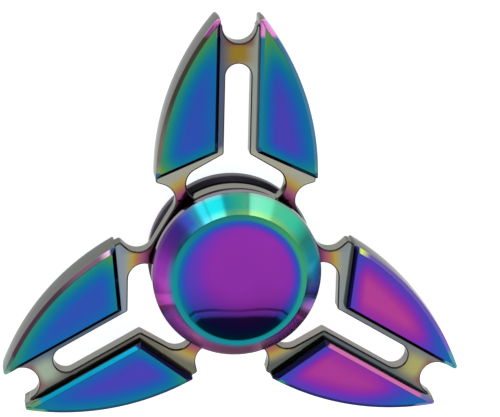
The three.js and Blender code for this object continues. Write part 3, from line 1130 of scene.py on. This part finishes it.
# Fades on a cap by radius, with the share that the new colour reaches where that is less than all of it.
LIP_FADE = (8.8, 9.4)
BEVEL_FADE = (LIP_OUTER - 0.1, LIP_OUTER + 0.1)
BRUSHED_FADE = (LIP_OUTER - 0.05, LIP_OUTER + 0.15)
BEVEL_TOP_FADE = (10.9, LIP_OUTER)
BEVEL_TOP_SHARE = 0.9
BEVEL_FOOT_FADE = (11.9, 12.4)
BEVEL_FOOT_SHARE = 0.4

# Fades on a cap by height, from the rear cap to the front one, and by how squarely it faces along the axis.
SHOULDER_FADE = (CAP_INNER_Z + 0.1, CAP_INNER_Z + 0.3)
HIDDEN_FADE = (CAP_INNER_Z + 0.3, CAP_INNER_Z + 0.1)
BETWEEN_CAPS_FADE = (-1.0, 1.0)
CAP_SIDE_FADE = (0.4, 0.1)
BRUSHED_FACING_FADE = (0.3, 0.5)

# The polish of a cap, and what its brushed bevel and its hidden face add to the roughness.
CAP_ROUGHNESS = 0.06
BRUSHED_ROUGHNESS = 0.1
HIDDEN_ROUGHNESS = 0.4
CAP_PEEL = 0.1
BRUSHING = 0.8


def dish_plating(x, y, radius, turn):
    """The film in the dish, with the lip round it."""
    from_spot = length(x - DISH_SPOT[0], y - DISH_SPOT[1])
    film = DISH_FILM - fade(from_spot, DISH_SPOT_FADE) * DISH_SPOT_LOSS
    film = film - fade(radius, DISH_EDGE_FADE) * DISH_EDGE_LOSS
    film = film + (noise(DISH_FILM_GRAIN) - 0.5) * DISH_FILM_SPREAD
    lip = colours(turn * 360, LIP_PLATING, 0, 360)
    return mixed(fade(radius, LIP_FADE), colours(film, FILM), lip)


def bevel_plating_and_painted_light(radius, turn):
    """The bevel, which changes colour towards the lip above it and the wall below it. Its colours round the
    axis hold painted highlights and painted shade.
    """
    bevel = colours(turn * 360, BEVEL_FILM_AND_PAINTED_LIGHT, 0, 360)
    top = colours(turn * 360, BEVEL_TOP_PLATING, 0, 360)
    bevel = mixed(fade(radius, BEVEL_TOP_FADE) * BEVEL_TOP_SHARE, bevel, top)
    return mixed(fade(radius, BEVEL_FOOT_FADE) * BEVEL_FOOT_SHARE, bevel, BEVEL_FOOT_PLATING)


def cap_material():
    """The caps' plating, with painted light on the bevel and painted shade beside the gap to the frame. The
    bevel is brushed round the axis, and the face towards the frame is duller.
    """
    material, shader = new_material("cap rainbow plating with painted light")
    x, y, z = position()
    up = upward()
    radius = length(x, y)
    turn = turn_about_axis(x, y)
    wall = mixed(fade(z, BETWEEN_CAPS_FADE), REAR_CAP_WALL_PLATING, FRONT_CAP_WALL_PLATING)
    # painted shade at the foot of the cap's wall, beside the gap to the frame
    side = mixed(fade(abs(z), SHOULDER_FADE), CAP_GAP_PAINTED_SHADE, wall)
    on_bevel = fade(radius, BEVEL_FADE)
    top = mixed(on_bevel, dish_plating(x, y, radius, turn), bevel_plating_and_painted_light(radius, turn))
    outside = mixed(fade(up, CAP_SIDE_FADE), top, side)
    hidden = fade(abs(z), HIDDEN_FADE)
    colour = mixed(hidden, outside, CAP_INNER_FACE_PLATING)
    brushed = fade(radius, BRUSHED_FADE) * fade(up, BRUSHED_FACING_FADE)
    roughness = brushed * BRUSHED_ROUGHNESS + hidden * HIDDEN_ROUGHNESS + CAP_ROUGHNESS
    finish_metal(shader, colour, roughness, CAP_PEEL)
    shader.inputs["Specular Tint"].default_value = plain(GRAZING_SHARE)
    tangent = Field.tree.nodes.new("ShaderNodeTangent")
    tangent.axis = "Z"
    Field.tree.links.new(tangent.outputs["Tangent"], shader.inputs["Tangent"])
    shader.inputs["Anisotropic"].default_value = BRUSHING
    shader.inputs["Anisotropic Rotation"].default_value = 0.25
    return material


# Each steel by its slot: the material's name, its light and dark colours, its roughness, the pitch of its
# lines in millimetres, and how uneven its surface is.
STEEL_LOOKS = {
    "race_steel": ("ground race steel", (206, 208, 212), (168, 171, 176), 0.16, 0.12, 0.15),
    "ball_steel": ("polished ball steel", (226, 228, 232), (204, 207, 212), 0.06, 40.0, 0.05),
    "cage_sheet": ("pressed cage sheet", (176, 174, 168), (138, 137, 133), 0.34, 0.5, 0.35),
    "shield_sheet": ("rolled shield sheet", (188, 190, 193), (152, 154, 158), 0.26, 0.2, 0.2),
    "spring_wire": ("drawn spring wire", (160, 160, 162), (118, 119, 122), 0.22, 0.3, 0.2),
    "rivet_steel": ("headed rivet steel", (196, 194, 190), (158, 156, 152), 0.28, 0.4, 0.3),
}


def steel_material(name, light, dark, roughness, line_pitch, peel):
    """Bare steel with fine lines round the axis, line_pitch millimetres apart, and faint smudges."""
    material, shader = new_material(name)
    x, y, z = position()
    place = length(x, y) + z * 0.7
    lines = Field.of("SINE", place * (2 * pi / line_pitch) + noise(300.0) * 4.0) * 0.25 + 0.5
    shade = lines * 0.5 + noise(700.0, 4.0) * 0.5
    finish_metal(shader, colours(shade, [(0.25, dark), (0.75, light)]), roughness, peel)
    return material


# Stage


def look_from_photo():
    """The camera: tilts about X, Y and the view axis, then its place in the tilted directions."""
    turn = Matrix.Rotation(ROLL, 3, "Z") @ Matrix.Rotation(TILT_X, 3, "X") @ Matrix.Rotation(TILT_Y, 3, "Y")
    camera = bpy.data.objects.new("camera", bpy.data.cameras.new("camera"))
    bpy.context.scene.collection.objects.link(camera)
    back = turn.transposed()
    camera.matrix_world = Matrix.Translation(back @ Vector(CAMERA_PLACE) * MM) @ back.to_4x4()
    camera.data.sensor_width = SENSOR_WIDTH
    camera.data.lens = LENS
    camera.data.clip_start = CLIP_START
    bpy.context.scene.camera = camera


# The light low round the object, by azimuth in degrees: bright strips with thin dark gaps, then a dark side.
HORIZON_LIGHT = [
    (0, 1.0), (50, 1.0), (53, 2.3), (74, 2.3), (75.5, 0.2), (77, 1.0), (99, 1.0), (101, 2.8), (116, 2.8),
    (117, 0.4), (118, 2.8), (124, 2.8), (127, 1.0), (140, 0.9), (148, 0.3), (172, 0.3), (184, 1.0),
    (360, 1.0),
]

# The light overhead from the near side to the far side: the softbox, a thin dark line in its far edge, the
# dark room behind it, and a pale wall.
SOFTBOX_START = -1.4
SOFTBOX_END = 1.1
SOFTBOX_SHIFT = 0.02
SOFTBOX_BOW = 0.3
SOFTBOX_SKEW = 0.071
SOFTBOX_LIGHT = [
    (-1.0, 1.0), (-0.8, 1.06), (-0.26, 1.0), (-0.1, 0.85), (-0.004, 0.7), (0.012, 0.1), (0.026, 0.1),
    (0.038, 0.8), (0.06, 0.6), (0.095, 0.45), (0.11, 0.06), (0.44, 0.06), (0.5, 0.8), (1.1, 0.8),
]


# Where the room gives way to a plain sky at its sides, except on its near side, and where the light overhead
# takes over from the light low round the object.
ROOM_SIDE_FADE = (0.84, 0.76)
ROOM_NEAR_FADE = (-0.1, -0.25)
OVERHEAD_FADE = (0.3, 0.36)


def background():
    """The room: a wide softbox overhead, darkness behind its edge, and bright strips low on the far side."""
    world = bpy.data.worlds.new("studio")
    bpy.context.scene.world = world
    world.use_nodes = True
    Field.tree = world.node_tree
    shader = world.node_tree.nodes["Background"]
    x, y, z = split(coordinates().outputs["Generated"])
    azimuth = turn_about_axis(x, y) * 360
    horizon = strengths(azimuth, HORIZON_LIGHT, 0, 360)
    across_softbox = y + SOFTBOX_SHIFT - x * x * SOFTBOX_BOW + x * SOFTBOX_SKEW
    softbox = strengths(across_softbox, SOFTBOX_LIGHT, SOFTBOX_START, SOFTBOX_END)
    inside = Field.of("MAXIMUM", fade(abs(x), ROOM_SIDE_FADE), fade(y, ROOM_NEAR_FADE))
    sky = blend(FAR_SKY, softbox, inside)
    strength = blend(horizon, sky, fade(z, OVERHEAD_FADE))
    Field.tree.links.new(strength.socket, shader.inputs["Color"])
    shader.inputs["Strength"].default_value = 1.0


def overhead_lamp():
    """A soft lamp for the floor and the duller pieces. The mirror-like ones don't show it."""
    light = bpy.data.lights.new("overhead softbox", "AREA")
    light.shape = "DISK"
    light.size = LAMP_SIZE
    light.energy = LAMP_POWER
    lamp = bpy.data.objects.new("overhead softbox", light)
    lamp.location = LAMP_PLACE
    lamp.rotation_euler = (LAMP_LEAN, 0, 0)
    lamp.visible_glossy = False
    bpy.context.scene.collection.objects.link(lamp)


def floor():
    """A plain pale sheet just below the object."""
    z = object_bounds()[0][2] / MM - FLOOR_DROP
    corners = [(x * FLOOR_HALF, y * FLOOR_HALF, z) for x, y in ((-1, -1), (1, -1), (1, 1), (-1, 1))]
    sheet = new_piece("floor", corners, [(0, 1, 2, 3)])
    material, shader = new_material("pale floor")
    pale = colours(noise(FLOOR_GRAIN), [(0.0, FLOOR_DARK), (1.0, FLOOR_LIGHT)])
    Field.tree.links.new(pale, shader.inputs["Base Color"])
    shader.inputs["Roughness"].default_value = FLOOR_ROUGHNESS
    shader.inputs["Specular IOR Level"].default_value = FLOOR_GLOSS
    shader.inputs["Emission Color"].default_value = plain(1)
    shader.inputs["Emission Strength"].default_value = FLOOR_GLOW
    sheet.data.materials.append(material)
    sheet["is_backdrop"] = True


# Assembly


def put(piece, body, material, slot, *nodes):
    """Gives a piece its material and its body, in place of CAD nodes. The slot is not used."""
    piece.data.materials.clear()
    piece.data.materials.append(material)
    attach(piece, body)
    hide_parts(*nodes)


def put_turned(node, body, slot, shape):
    """A part of the bearing from its points and faces, in place of its CAD node. The slot names its steel."""
    put(smooth(new_piece(node + "_turned", *shape)), body, steels[slot], slot, node)


def put_cage():
    """The two halves of the cage: the rear one is the front one turned over."""
    front = cage_half()
    rear = front.copy()
    rear.data = front.data.copy()
    rear.data.transform(Matrix.Rotation(pi, 4, "X"))
    bpy.context.scene.collection.objects.link(rear)
    for half, node in ((front, "cage_front"), (rear, "cage_rear")):
        half.name = node + "_pressed"
        put(smooth(half), "ball_cage", steels["cage_sheet"], "cage_sheet", node)


look_from_photo()
background()
overhead_lamp()
floor()

put(claw_frame(), "rotor", frame_material(), "frame_plating", "claw_frame")
cap_plating = cap_material()
put(front_cap(), "grip", cap_plating, "cap_plating", "front_cap")
put(rear_cap(), "grip", cap_plating, "cap_plating", "rear_cap")

steels = {slot: steel_material(*look) for slot, look in STEEL_LOOKS.items()}

put_turned("outer_race", "rotor", "race_steel", outer_race())
put_turned("inner_race", "grip", "race_steel", inner_race())
put_turned("shield_front", "rotor", "shield_sheet", shield())
put_turned("shield_rear", "rotor", "shield_sheet", flipped(shield()))
put_turned("retaining_ring_front", "rotor", "spring_wire", retaining_ring())
put_turned("retaining_ring_rear", "rotor", "spring_wire", flipped(retaining_ring()))
for i in range(BALL_COUNT):
    number = str(i + 1)
    put_turned("ball_" + number, "ball_" + number, "ball_steel", round_the_pitch(ball(), i))
    put_turned("cage_rivet_" + number, "ball_cage", "rivet_steel", round_the_pitch(rivet(), i + 0.5))
put_cage()

bpy.context.scene.view_settings.view_transform = "Standard"
